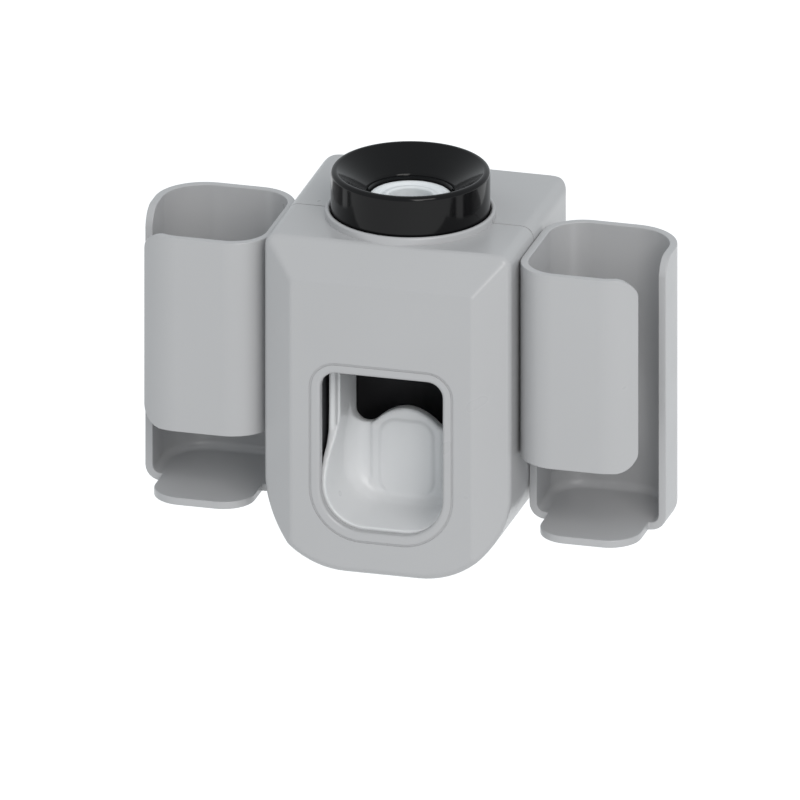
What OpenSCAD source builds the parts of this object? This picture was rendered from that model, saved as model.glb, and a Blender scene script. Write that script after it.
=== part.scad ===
// Wall-hung toothpaste dispenser with a push lever and a cup on either side.
// Sizes are in millimetres. Each piece is drawn with X = 0 on the centre plane, Y = 0 on the
// flat front and Z = 0 at the bottom of the housing, and hung() then moves it so that the
// origin is the middle of the wall plate's back face, on the wall.

/* [Housing] */
// Width of the housing
body_w = 71; // [70:0.5:80]
// Depth of the housing from its flat front to its back
body_d = 70; // [68:0.5:85]
// Height of the housing without the seat lip
body_h = 96.5; // [95:0.5:110]
// Wall thickness of both shells
wall = 2.4; // [1.8:0.1:2.8]
// Distance of the parting line and the tube axis from the flat front
split_y = 31; // [30.5:0.5:34]
// Radius of the two top corners seen from the front
top_corner_r = 3.5; // [2.8:0.1:6]
// Radius of the two bottom corners seen from the front
bottom_corner_r = 25; // [18:0.5:28]
// Radius of the upright edges at the back
back_edge_r = 6; // [3:0.5:8]
// Width of the bevels on the left and right of the front
side_bevel_w = 9.2; // [7:0.1:10]
// Height of the bevel along the top of the front
top_bevel_h = 10.5; // [8:0.1:12]
// Depth that the bevels reach back from the flat front
bevel_d = 7; // [5:0.1:7.2]

/* [Window] */
// Width of the opening for the toothbrush head
window_w = 35.2; // [33:0.1:36]
// Height of the opening
window_h = 46.5; // [44:0.5:48]
// Height of the sill over the bottom of the housing
window_sill = 12.8; // [12:0.1:15]
// Radius of the opening's top corners
window_top_r = 4.5; // [2:0.1:8]
// Radius of the opening's bottom corners
window_bottom_r = 12; // [8:0.1:14]
// Width of the flat border round the opening
border_w = 3.1; // [2:0.1:4]
// Width of the groove that edges the border
groove_w = 0.6; // [0.4:0.1:1]
// Depth of the groove
groove_d = 0.35; // [0.2:0.05:0.8]

/* [Collar] */
// Outer radius of the funnel collar
collar_r = 22.2; // [21:0.1:22.6]
// Height of the collar's crest over the top face
collar_h = 13.6; // [11:0.1:18]
// Radius of the rounding on the collar's outer crest
crest_round = 1.2; // [0.6:0.1:2]
// Radius of the funnel's narrow end, round the seal
funnel_lip_r = 12.7; // [12.4:0.1:13.2]
// Height of the funnel's narrow end over the top face
funnel_lip_h = 7.9; // [7.2:0.1:8.6]
// Thickness of the collar's outer wall
collar_wall = 2.2; // [1.6:0.1:3]
// Radius of the spigot that centres the collar in the housing
spigot_r = 16; // [15.6:0.1:17]
// Depth of the spigot below the top face
spigot_len = 3.2; // [3:0.1:3.6]
// Clearance between the collar and what it drops into
collar_gap = 0.25; // [0.2:0.05:0.4]
// Thickness of the housing's lip round the collar
seat_lip_t = 1.3; // [1:0.1:1.4]
// Height of the housing's lip over the top face
seat_lip_h = 2.2; // [1:0.1:4]
// Section radius of the collar's O-ring
oring_r = 0.7; // [0.5:0.05:0.8]

/* [Tube inlet] */
// Radius of the seal's hole, which grips the tube's nozzle
inlet_r = 6.2; // [5:0.1:6.8]
// Outer radius of the seal
seal_r = 11.6; // [11.2:0.1:12]
// Height of the seal's top over the top face
seal_top_h = 5.8; // [5:0.1:6.2]
// Thickness of the seal's top disc
seal_t = 2; // [1.6:0.1:2.6]
// Length of the seal's inner sleeve, which grips the nozzle below the disc
seal_sleeve_len = 4; // [2:0.1:5]
// Thickness of the seal's skirt
seal_skirt_t = 1.5; // [1.2:0.1:1.8]
// Length of the seal's skirt below its disc
seal_skirt_len = 5; // [3:0.1:6]
// Depth of the ring-shaped groove in the seal's top
seal_groove_d = 0.8; // [0.4:0.1:1.2]
// Clearance between the seal and the collar's hole
seal_gap = 0.3; // [0.2:0.05:0.5]
// Bore radius of the inlet socket
socket_bore_r = 7.5; // [7:0.1:8]
// Radius of the inlet socket's flange
socket_flange_r = 15.5; // [15:0.1:17]
// Thickness of the inlet socket's flange
socket_flange_t = 4.5; // [4:0.1:5]

/* [Pump] */
// Radius of the squeeze bulb
bulb_r = 9; // [8.4:0.1:9.4]
// Wall thickness of the squeeze bulb
bulb_wall = 1.3; // [1:0.1:1.6]
// Thickness of the bulb's flanges
bulb_flange_t = 1.5; // [1.2:0.1:1.8]
// Outer radius of the bulb's upper neck
neck_top_r = 8; // [7.6:0.1:8.4]
// Outer radius of the bulb's lower neck
neck_low_r = 5.5; // [5:0.1:6]
// Thickness of the valves' flanges
valve_flange_t = 1; // [0.8:0.1:1.2]
// Length of the inlet valve's bill
inlet_bill_len = 7.5; // [6:0.1:9]
// Bore radius of the paste passages
passage_r = 1.9; // [1.5:0.1:2.1]
// Distance of the nozzle from the flat front
nozzle_y = 18; // [17:0.5:19]
// Height of the nozzle's tip over the top of the window's view
nozzle_rise = 0.4; // [0.2:0.1:2]
// Radius of the nozzle's tip
nozzle_r = 2.6; // [2.2:0.1:3]
// Radius of the hole in the nozzle's tip
nozzle_hole_r = 1.6; // [1:0.1:1.8]

/* [Inner frame] */
// Half of the clear width inside the frame
frame_half = 19.6; // [19.2:0.1:20]
// Thickness of the frame's side plates
frame_t = 2.2; // [1.8:0.1:2.5]
// Distance of the frame's front edges from the inside of the front wall
frame_front_gap = 0.6; // [0.4:0.1:1.5]
// Distance of the frame's back plate from the flat front
frame_back_y = 47; // [46.5:0.5:49]
// Height of the frame's lower edge
frame_low_z = 17.5; // [17:0.1:20]
// Height between the frame's top plate and the underside of the top wall
frame_drop = 6.6; // [6.4:0.1:8]
// Thickness of the frame's top plate
frame_top_t = 2; // [1.6:0.1:2.6]
// Thickness of the shelf under the bulb
shelf_t = 3; // [2.5:0.1:3.5]
// Height of the shelf over the top of the window
shelf_rise = 6.2; // [6:0.1:8]
// Half of the width of the cradle round the bulb
cradle_half = 12.2; // [12:0.1:12.4]
// Thickness of the cradle's walls
cradle_t = 1.9; // [1.6:0.1:2.1]
// Gap between the bulb and the cradle's front wall
bulb_gap = 0.3; // [0.2:0.1:0.6]

/* [Lever] */
// Half of the width of the push lever across its arms
lever_half = 18.5; // [18.2:0.1:18.6]
// Half of the width of the scoop below the arms
scoop_half = 19; // [18.8:0.1:19.1]
// Thickness of the scoop's side walls
scoop_side_t = 1.7; // [1.4:0.1:2.2]
// Height where the scoop has its full width
scoop_wide_z = 28; // [26:0.5:30]
// Height where the scoop narrows to the arms
scoop_narrow_z = 44; // [42:0.5:46]
// Thickness of the lever's side arms
arm_t = 3.3; // [2.8:0.1:3.5]
// Distance of the arms' front edges behind the flat front
arm_front_y = 12.3; // [11:0.1:13]
// Depth of the arms from their front edges
arm_d = 17.9; // [17:0.1:18.2]
// Distance of the scoop's rim behind the flat front
scoop_front_y = 4.6; // [4:0.1:6]
// Height up to which the scoop's rim stands fully forward
rim_low_z = 24; // [22:0.1:26]
// Height where the rim has drawn back to the arms
rim_high_z = 38; // [36:0.1:40]
// Distance of the scoop's back face from the flat front
scoop_back_y = 30.5; // [29:0.5:32]
// Thickness of the scoop's back wall
scoop_back_t = 2.5; // [2:0.1:3]
// Thickness of the scoop's floor
scoop_floor_t = 1.8; // [1.4:0.1:2.4]
// Depth of the scoop's underside below the window's sill
scoop_drop = 1.9; // [1.4:0.1:2.4]
// Radius of the scoop's bottom corners
scoop_corner_r = 13; // [10:0.1:14]
// Height of the back wall's arched top
crest_z = 40.4; // [38:0.1:43]
// Half of the width of the arched top's level crest
crest_half = 4.5; // [3:0.1:6]
// Height of the notches beside the arched top
notch_z = 34.6; // [32:0.1:36]
// Distance of the notches' lowest points from the middle
notch_x = 11.6; // [10.5:0.1:12.5]
// Half of the width of the raised tongue that carries the pad
tongue_half = 10.2; // [9.5:0.1:11]
// Height of the tongue's face over the back wall
tongue_rise = 1; // [0.6:0.1:1.4]
// Width of the raised pad
pad_w = 15; // [12:0.5:18]
// Height of the raised pad
pad_h = 22; // [18:0.5:22.5]
// Height of the pad's lower edge
pad_z = 14.4; // [14:0.1:16]
// Thickness of the raised pad
pad_t = 0.6; // [0.4:0.1:1]
// Radius of the pad's corners
pad_corner_r = 4.5; // [2:0.1:6]
// Distance of the lever's hinge from the flat front
hinge_y = 22; // [21.5:0.5:22.5]
// Height of the lever's hinge over the top of the window
hinge_rise = 0.9; // [0.5:0.1:1.5]
// Radius of the lever's ears
ear_r = 5; // [4.5:0.1:5.5]
// Radius of the bar that squeezes the bulb
bar_r = 2.5; // [2:0.1:2.6]
// Height of the bar over the hinge, with a bulb of its usual length
bar_rise = 17; // [15:0.1:17.4]
// Usual length of the bulb's clear middle, between the shelf and the frame's top plate
bulb_len = 17; // [16:0.1:18]

/* [Pins, springs and screws] */
// Radius of the lever's pins
pin_r = 1.5; // [1.2:0.05:1.8]
// Running clearance round the lever's pins
pin_gap = 0.05; // [0.02:0.01:0.08]
// Radius of the pins' heads and clips
pin_head_r = 2.8; // [2.4:0.1:3.2]
// Thickness of the pins' heads
pin_head_t = 1; // [0.8:0.1:1.4]
// Wire radius of the return spring
wire_r = 0.4; // [0.3:0.05:0.5]
// Radius of the return spring to the middle of its wire
spring_r = 3.6; // [3.4:0.1:4.5]
// Number of turns of the return spring
spring_turns = 5; // [4:1:6]
// Radius of the bosses that hold the spring's ends
spring_boss_r = 2.6; // [2:0.1:2.8]
// Height of the return spring
spring_z = 27; // [24:0.5:30]
// Radius of the screws' threads
screw_r = 1.3; // [1.1:0.05:1.4]
// Radius of the screws' heads
screw_head_r = 2.6; // [2.2:0.1:2.9]
// Thickness of the screws' heads
screw_head_t = 1.8; // [1.4:0.1:2]
// Length of the case and frame screws under their heads
screw_len = 10; // [8:0.5:12]
// Radius of the pump's small screws
small_screw_r = 1; // [0.8:0.05:1.1]
// Clearance of a screw in the part that it clamps
screw_gap = 0.3; // [0.2:0.05:0.4]
// Clearance of a screw's thread in its pilot hole
pilot_gap = 0.02; // [0.01:0.01:0.04]

/* [Cups] */
// Width that each cup stands out from the housing's side
cup_w = 39.5; // [36:0.5:44]
// Distance of the cup's front from the flat front
cup_front_y = 6; // [4:0.5:8]
// Depth of the cup from front to back
cup_d = 44.5; // [42:0.5:48]
// Height of the cup's underside over the bottom of the housing
cup_low_z = 11.7; // [10:0.1:14]
// Height of the cup
cup_h = 80.8; // [76:0.1:84]
// Wall thickness of the cups
cup_wall = 2.2; // [1.8:0.1:2.6]
// Thickness of the cup's floor
cup_floor_t = 2; // [1.6:0.1:3]
// Radius of the cup's outer corners
cup_outer_r = 14.5; // [12:0.1:16]
// Radius of the cup's corners at the housing
cup_inner_r = 12; // [8:0.1:13]
// Radius of the cup's bottom edge along its sides
cup_bottom_r = 4.5; // [3:0.1:5]
// Height of the front panel's lower edge over the cup's underside
panel_rise = 23.1; // [18:0.1:30]
// Angle that the front panel reaches round the outer corner
panel_angle = 48; // [35:1:60]
// Radius of the corners of the panel's free edge
panel_corner_r = 6; // [3:0.1:8]
// Distance of the side walls' front edges from the flat front
side_wall_y = 25.7; // [24:0.1:28]
// Distance of the floor tab's front from the flat front
tab_y = 9; // [7:0.1:12]
// Gap between the floor tab and the cup's sides
tab_inset = 5.6; // [4:0.1:7]
// Radius of the floor tab's corners
tab_corner_r = 9; // [6:0.1:10]
// Gap between a cup and the housing's side
cup_gap = 0.15; // [0.1:0.05:0.3]
// Width of the cup's hooks
hook_w = 8; // [6:0.5:9]
// Distance of the hooks' middle from the flat front
hook_y = 40; // [39:0.5:41]
// Height of the lower hooks over the cup's underside
hook_low = 16; // [14:0.5:18]
// Height between the lower and the upper hooks
hook_step = 42; // [38:0.5:43]
// Height of a hook's neck
hook_neck_h = 4; // [3:0.1:4.5]
// Length that a hook's tongue hangs below its neck
hook_tongue = 6; // [5:0.1:6.4]
// Thickness of a hook's tongue
hook_t = 2; // [1.6:0.1:2.4]
// Clearance round a hook
hook_gap = 0.3; // [0.2:0.05:0.5]

/* [Wall plate] */
// Width of the wall plate
plate_w = 38; // [34:0.5:39]
// Height of the wall plate
plate_h = 42; // [40:0.5:43]
// Thickness of the wall plate
plate_t = 2.5; // [2:0.1:3]
// Thickness of the adhesive pad
adhesive_t = 1; // [0.6:0.1:1.4]
// Height of the wall plate's middle over the bottom of the housing
plate_z = 62; // [60:0.5:64]
// Gap between the housing's back and the wall
wall_gap = 1.5; // [1.2:0.1:2.5]
// Depth of the recess in the housing's back
recess_d = 6; // [5.6:0.1:7]
// Thickness of the recess's walls
recess_t = 2.2; // [1.8:0.1:2.4]
// Clearance round the wall plate in the recess
plate_gap = 0.8; // [0.5:0.1:1.2]
// Distance of each wall hook from the plate's middle
wall_hook_dz = 11; // [10:0.5:12]
// Width of the wall hooks
wall_hook_w = 10; // [8:0.5:12]
// Length that a wall hook's tongue stands over its neck
wall_hook_tongue = 5; // [4:0.1:5.5]
// Height that the housing lifts to leave the wall hooks
lift = 6; // [5.8:0.1:6.5]
// Distance of each wall screw from the plate's middle
wall_screw_dx = 13; // [12:0.5:14]
// Radius of the wall plate's screw holes
wall_screw_r = 2.2; // [1.8:0.1:2.4]

/* [Hidden] */
$fn = 64;

shell_grey = "#b6b8ba";
frame_black = "#1e1e20";
lever_white = "#eceef0";
silicone = "#dfe5e8";
steel = "#a8acb0";

// Tiny overlap that keeps joined shapes in one solid
fuse = 0.01;
// Length that is longer than any piece, for cuts that run right through
far = 300;
// Steps in a quarter of a rounded corner
arc_steps = 10;

// Heights that the inner pieces share
top_under = body_h - wall;
window_top = window_sill + window_h;
side_x = body_w / 2;
inner_x = side_x - wall;
frame_top = top_under - frame_drop;
plate_low = frame_top - frame_top_t;
shelf_z = window_top + shelf_rise;
shelf_top = shelf_z + shelf_t;
hinge_z = window_top + hinge_rise;
frame_out = frame_half + frame_t;
frame_front_y = wall + frame_front_gap;

// The line of sight over the window's top edge falls this much for each millimetre of depth
sight_fall = 0.379;
nozzle_tip_z = window_top - sight_fall * (nozzle_y - nozzle_r) + nozzle_rise;

// Bulb, socket and seal, from the bottom up
bulb_low_z = shelf_z - bulb_flange_t;
bulb_top_z = frame_top + bulb_flange_t;
valve_top_z = bulb_top_z + valve_flange_t;
socket_top_z = frame_top + socket_flange_t;
seal_top_z = body_h + seal_top_h;
tower_top_z = seal_top_z - seal_t;
tower_r = seal_r - seal_skirt_t - 0.1;
bulb_flange_r = neck_top_r + 3;
low_flange_r = neck_low_r + 2;
socket_screw_x = bulb_flange_r + 2.3;
small_head_r = small_screw_r + 0.9;
small_head_t = 1.2;

// Elbow and nozzle
elbow_wall = 1.5;
duct_z = bulb_low_z - passage_r - 0.4;
elbow_flange_t = 3.5;
elbow_low_z = shelf_z - elbow_flange_t;
elbow_r = cradle_half - 0.4;
elbow_screw_x = low_flange_r + 2;
sleeve_r = nozzle_r + 1;
valve_low_z = duct_z - passage_r - 0.6 - valve_flange_t;
nozzle_flange_t = 1.1;
nozzle_socket_z = nozzle_tip_z + 2 + nozzle_flange_t;

// Lever
scoop_low_z = window_sill - scoop_drop;
arm_in = lever_half - arm_t;
arm_back_y = arm_front_y + arm_d;
bar_y = split_y + bulb_r + bulb_gap + bar_r;
// The bar stays at the middle of the bulb where the bulb is longer or shorter
bar_z = hinge_z + bar_rise + (plate_low - shelf_top - bulb_len) / 2;
arm_top_z = window_top - 2.4;

// Places of the screws that hold the shells together, as [x, z]
case_boss_r = 3.5;
case_top = [side_x - 7.5, body_h - 8.5];
case_low = [side_x - 13.5, 12];
case_places = [[case_top.x, case_top.y], [-case_top.x, case_top.y],
               [case_low.x, case_low.y], [-case_low.x, case_low.y]];
boss_end_y = split_y - 3.5;
tongue_len = 3;
tongue_t = 1.2;
tongue_gap = 0.15;
pillar_seat_t = 4;

// Places of the screws that hold the inner frame, as [x, z]
frame_screw_x = frame_out + 4.3;
frame_screw_zs = [window_sill + 21.2, window_top + 11];
frame_places = [for (z = frame_screw_zs) each [[frame_screw_x, z], [-frame_screw_x, z]]];
frame_tab_half = 4;
frame_boss_r = 3.3;
frame_tab_y = 22;
frame_tab_t = 2.5;

// Cups, drawn for the right side
cup_x0 = side_x + cup_gap;
cup_x1 = side_x + cup_w;
cup_back_y = cup_front_y + cup_d;
cup_top_z = cup_low_z + cup_h;
panel_low_z = cup_low_z + panel_rise;
hook_heights = [cup_low_z + hook_low, cup_low_z + hook_low + hook_step];
slot_h = hook_neck_h + hook_tongue + 1;

// Wall plate
wall_y = body_d + wall_gap;
plate_back_y = wall_y - adhesive_t;
plate_front_y = plate_back_y - plate_t;
recess_y = body_d - recess_d;
recess_in_y = recess_y - recess_t;
wall_neck_h = 4;
wall_hook_zs = [plate_z - wall_hook_dz, plate_z + wall_hook_dz];
wall_slot_h = wall_neck_h + wall_hook_tongue + 1;
recess_low_z = plate_z - plate_h / 2 - lift - plate_gap;
recess_top_z = plate_z + plate_h / 2 + plate_gap;
recess_half = plate_w / 2 + plate_gap;

// Points of an arc round (cx, cy)
function arc(cx, cy, r, from, to) =
    [for (i = [0 : arc_steps]) let (a = from + (to - from) * i / arc_steps) [cx + r * cos(a), cy + r * sin(a)]];

// Rounded rectangle from (x0, y0) to (x1, y1) with one radius for each corner
function rounded_box(x0, y0, x1, y1, r_low_left, r_low_right, r_top_right, r_top_left) = concat(
    arc(x0 + r_low_left, y0 + r_low_left, r_low_left, 180, 270),
    arc(x1 - r_low_right, y0 + r_low_right, r_low_right, 270, 360),
    arc(x1 - r_top_right, y1 - r_top_right, r_top_right, 0, 90),
    arc(x0 + r_top_left, y1 - r_top_left, r_top_left, 90, 180));

// Radius of a corner that is moved inwards, never sharp
function inner_r(r, inset) = max(r - inset, 0.6);

module hung() {
    translate([0, -wall_y, -plate_z]) children();
}

// Extrudes an outline drawn in X and Z along Y
module along_y(y0, y1) {
    translate([0, y1, 0]) rotate([90, 0, 0]) linear_extrude(y1 - y0) children();
}

// Extrudes an outline drawn in Y and Z along X
module along_x(x0, x1) {
    translate([x0, 0, 0]) rotate([90, 0, 90]) linear_extrude(x1 - x0) children();
}

// Round bar along Y
module rod_y(x, z, r, y0, y1) {
    translate([x, y1, z]) rotate([90, 0, 0]) cylinder(r = r, h = y1 - y0);
}

// Round bar along X
module rod_x(y, z, r, x0, x1) {
    translate([x0, y, z]) rotate([0, 90, 0]) cylinder(r = r, h = x1 - x0);
}

// Block between two opposite corners
module block(low, high) {
    translate(low) cube(high - low);
}

module both_sides() {
    children();
    mirror([1, 0, 0]) children();
}

// Front view of the housing, moved inwards by inset
module body_outline(inset) {
    r_top = inner_r(top_corner_r, inset);
    r_low = inner_r(bottom_corner_r, inset);
    polygon(rounded_box(-side_x + inset, inset, side_x - inset, body_h - inset, r_low, r_low, r_top, r_top));
}

// Housing between two depths, with bevels on the left, right and top of the front
module body_form(inset, y0, y1) {
    side_len = norm([side_bevel_w, bevel_d]);
    top_len = norm([top_bevel_h, bevel_d]);
    flat_x = side_x - side_bevel_w + inset * (side_bevel_w - side_len) / bevel_d;
    side_y = bevel_d + inset * (side_len - bevel_d) / side_bevel_w;
    flat_z = body_h - top_bevel_h + inset * (top_bevel_h - top_len) / bevel_d;
    top_y = bevel_d + inset * (top_len - bevel_d) / top_bevel_h;
    x = side_x - inset;
    r = inner_r(back_edge_r, inset);
    back = body_d - inset;
    intersection() {
        along_y(y0, y1) body_outline(inset);
        translate([0, 0, -1]) linear_extrude(body_h + 2) polygon(concat(
            [[-flat_x, inset], [flat_x, inset], [x, side_y]],
            arc(x - r, back - r, r, 0, 90), arc(-x + r, back - r, r, 90, 180),
            [[-x, side_y]]));
        along_x(-side_x - 1, side_x + 1) polygon([
            [inset, -1], [inset, flat_z], [top_y, body_h - inset],
            [body_d + 1, body_h - inset], [body_d + 1, -1]]);
    }
}

// Front view of the window, grown by out
module window_outline(out) {
    polygon(rounded_box(
        -window_w / 2 - out, window_sill - out, window_w / 2 + out, window_top + out,
        window_bottom_r + out, window_bottom_r + out, window_top_r + out, window_top_r + out));
}

// Lip on the top face round the collar, with a rounded crest
module seat_lip() {
    r = seat_lip_t / 2;
    inner = collar_r + collar_gap;
    top = body_h + seat_lip_h;
    translate([0, split_y, 0]) rotate_extrude() polygon(concat(
        [[inner, body_h - wall / 2], [inner + seat_lip_t, body_h - wall / 2]],
        arc(inner + r, top - r, r, 0, 180)));
}

// Hole in the top wall for the collar's spigot
module spigot_hole() {
    translate([0, split_y, top_under - tongue_t - 4])
        cylinder(r = spigot_r + collar_gap, h = far);
}

module front_shell() {
    color(shell_grey) hung() difference() {
        union() {
            difference() {
                body_form(0, 0, split_y);
                body_form(wall, -1, split_y + 1);
            }
            intersection() {
                union() {
                    for (p = case_places) rod_y(p.x, p.y, case_boss_r, 1, boss_end_y);
                    for (p = frame_places) rod_y(p.x, p.y, frame_boss_r, 1, frame_tab_y);
                }
                body_form(wall / 2, 0, split_y);
            }
            intersection() {
                seat_lip();
                block([-far, -far, 0], [far, split_y, far]);
            }
        }
        along_y(-1, wall + 1) window_outline(0);
        along_y(-1, groove_d) difference() {
            window_outline(border_w);
            window_outline(border_w - groove_w);
        }
        spigot_hole();
        for (p = case_places) rod_y(p.x, p.y, screw_r + pilot_gap, boss_end_y - screw_len, far);
        for (p = frame_places) rod_y(p.x, p.y, screw_r + pilot_gap, frame_tab_y - screw_len, far);
    }
}

// Tongue of the rear shell that fits inside the front shell
module tongue() {
    outer = wall + tongue_gap;
    difference() {
        union() {
            difference() {
                body_form(outer, split_y - tongue_len, split_y + 2);
                body_form(outer + tongue_t, split_y - tongue_len - 1, split_y + 3);
            }
            difference() {
                body_form(wall / 2, split_y, split_y + 2);
                body_form(outer + tongue_t, split_y - 1, split_y + 3);
            }
        }
        translate([0, split_y, 0]) cylinder(r = spigot_r + 2, h = far);
    }
}

module rear_shell() {
    seat_y = boss_end_y + pillar_seat_t;
    color(shell_grey) hung() difference() {
        union() {
            difference() {
                body_form(0, split_y, body_d);
                body_form(wall, split_y - 1, body_d);
            }
            tongue();
            intersection() {
                union() {
                    for (p = case_places) rod_y(p.x, p.y, case_boss_r + 0.4, boss_end_y + 0.2, body_d);
                    block([-recess_half - recess_t, recess_in_y, recess_low_z - recess_t],
                          [recess_half + recess_t, body_d, recess_top_z + recess_t]);
                }
                body_form(wall / 2, 0, body_d);
            }
            intersection() {
                seat_lip();
                block([-far, split_y, 0], [far, far, far]);
            }
        }
        spigot_hole();
        block([-recess_half, recess_y, recess_low_z], [recess_half, far, recess_top_z]);
        for (z = wall_hook_zs)
            block([-wall_hook_w / 2 - hook_gap, recess_in_y - 1, z + wall_neck_h / 2 - wall_slot_h],
                  [wall_hook_w / 2 + hook_gap, recess_y + 1, z + wall_neck_h / 2]);
        for (p = case_places) {
            rod_y(p.x, p.y, screw_r + screw_gap, boss_end_y - 1, far);
            rod_y(p.x, p.y, screw_head_r + screw_gap, seat_y, far);
        }
        both_sides() for (z = hook_heights)
            block([inner_x - 1, hook_y - hook_w / 2 - hook_gap, z],
                  [side_x + 1, hook_y + hook_w / 2 + hook_gap, z + slot_h]);
    }
}

// Screw that points towards the front, with its head's underside at y
module screw_y(x, z, y, r, length, head_r, head_t) {
    difference() {
        union() {
            rod_y(x, z, r, y - length, y + fuse);
            rod_y(x, z, head_r, y, y + head_t);
        }
        translate([x, y + head_t, z]) rotate([90, 0, 0]) cylinder(r = head_r * 0.45, h = head_t * 0.6, $fn = 6);
    }
}

module case_screws() {
    seat_y = boss_end_y + pillar_seat_t;
    color(steel) hung() for (p = case_places)
        screw_y(p.x, p.y, seat_y, screw_r, screw_len, screw_head_r, screw_head_t);
}

module frame_screws() {
    color(steel) hung() for (p = frame_places)
        screw_y(p.x, p.y, frame_tab_y + frame_tab_t, screw_r, screw_len, screw_head_r, screw_head_t);
}

// Channel that holds the bulb from the front and the sides
module cradle() {
    front = split_y - bulb_r - bulb_gap;
    side_end = bar_y - bar_r - 6;
    block([-cradle_half, front - cradle_t, shelf_z], [cradle_half, front, frame_top]);
    both_sides() block([cradle_half - cradle_t, front - cradle_t, shelf_z], [cradle_half, side_end, frame_top]);
    block([-cradle_half, front - cradle_t, shelf_z], [cradle_half, split_y + low_flange_r + 2, shelf_top]);
}

module pump_frame() {
    back = frame_back_y + frame_t;
    upper_y = bevel_d + wall + 3;
    forward_z = frame_top - 14;
    color(frame_black) hung() difference() {
        union() {
            both_sides() along_x(frame_half, frame_out) polygon([
                [frame_front_y, frame_low_z], [frame_front_y, forward_z], [upper_y, forward_z + 7],
                [upper_y, frame_top], [back, frame_top], [back, frame_low_z]]);
            block([-frame_out, frame_back_y, frame_low_z], [frame_out, back, frame_top]);
            block([-frame_out, upper_y, plate_low], [frame_out, back, frame_top]);
            cradle();
            rod_y(0, spring_z, spring_boss_r, frame_back_y - 3, frame_back_y + 1);
            both_sides() for (z = frame_screw_zs)
                block([frame_out - 1, frame_tab_y, z - frame_tab_half],
                      [frame_screw_x + frame_tab_half, frame_tab_y + frame_tab_t, z + frame_tab_half]);
            both_sides() translate([socket_screw_x, split_y, frame_top - 6.5])
                cylinder(r = small_screw_r + 1.7, h = 6.5);
        }
        translate([0, split_y, plate_low - 1]) cylinder(r = neck_top_r + 0.15, h = far);
        translate([0, split_y, shelf_z - 1]) cylinder(r = neck_low_r + 0.15, h = shelf_t + 2);
        for (p = frame_places) rod_y(p.x, p.y, screw_r + screw_gap, frame_tab_y - 1, frame_tab_y + frame_tab_t + 1);
        both_sides() {
            rod_x(hinge_y, hinge_z, pin_r + pin_gap, frame_half - 1, frame_out + 1);
            translate([socket_screw_x, split_y, frame_top - 5.5])
                cylinder(r = small_screw_r + pilot_gap, h = far);
            translate([elbow_screw_x, split_y, shelf_z - 1]) cylinder(r = small_screw_r + pilot_gap, h = shelf_t + 2);
        }
    }
}

// Solid of revolution on the tube's axis, from an outline in radius and height
module turned(points) {
    translate([0, split_y, 0]) rotate_extrude() polygon(points);
}

module inlet_socket() {
    color(frame_black) hung() difference() {
        turned([
            [bulb_flange_r + 0.15, frame_top], [socket_flange_r, frame_top], [socket_flange_r, socket_top_z],
            [tower_r, socket_top_z], [tower_r, tower_top_z], [socket_bore_r, tower_top_z],
            [socket_bore_r, valve_top_z], [bulb_flange_r - 1.8, valve_top_z], [bulb_flange_r - 1.8, bulb_top_z],
            [bulb_flange_r + 0.15, bulb_top_z]]);
        both_sides() translate([socket_screw_x, split_y, frame_top - 1])
            cylinder(r = small_screw_r + 0.15, h = far);
    }
}

module inlet_seal() {
    groove_in = inlet_r + 1.4;
    groove_out = seal_r - 1.4;
    bead = 0.6;
    sleeve_r_out = socket_bore_r - 0.1;
    sleeve_low = tower_top_z - seal_sleeve_len;
    color(silicone) hung() turned(concat(
        [[sleeve_r_out, tower_top_z], [sleeve_r_out, sleeve_low], [inlet_r, sleeve_low]],
        arc(inlet_r + bead, seal_top_z - bead, bead, 180, 90),
        [[groove_in, seal_top_z], [groove_in + 0.5, seal_top_z - seal_groove_d],
         [groove_out - 0.5, seal_top_z - seal_groove_d], [groove_out, seal_top_z]],
        arc(seal_r - bead, seal_top_z - bead, bead, 90, 0),
        [[seal_r, tower_top_z - seal_skirt_len], [seal_r - seal_skirt_t, tower_top_z - seal_skirt_len],
         [seal_r - seal_skirt_t, tower_top_z]]));
}

module inlet_valve() {
    flange_r = bulb_flange_r - 2;
    low = bulb_top_z - inlet_bill_len;
    color(silicone) hung() turned([
        [flange_r, bulb_top_z], [flange_r, valve_top_z], [4.2, valve_top_z], [0.4, low],
        [1.6, low], [5.2, bulb_top_z]]);
}

module pump_bulb() {
    shoulder = 3.5;
    t = bulb_wall;
    outside = [
        [low_flange_r, bulb_low_z], [low_flange_r, shelf_z], [neck_low_r, shelf_z], [neck_low_r, shelf_top + 0.4],
        [bulb_r, shelf_top + 0.4 + shoulder], [bulb_r, plate_low - 2], [neck_top_r, plate_low - 0.6],
        [neck_top_r, frame_top], [bulb_flange_r, frame_top], [bulb_flange_r, bulb_top_z]];
    inside = [
        [neck_top_r - t, bulb_top_z], [neck_top_r - t, plate_low - 0.8], [bulb_r - t, plate_low - 2.4],
        [bulb_r - t, shelf_top + 1 + shoulder], [neck_low_r - t, shelf_top + 0.8], [neck_low_r - t, bulb_low_z]];
    color(silicone) hung() turned(concat(outside, inside));
}

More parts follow.
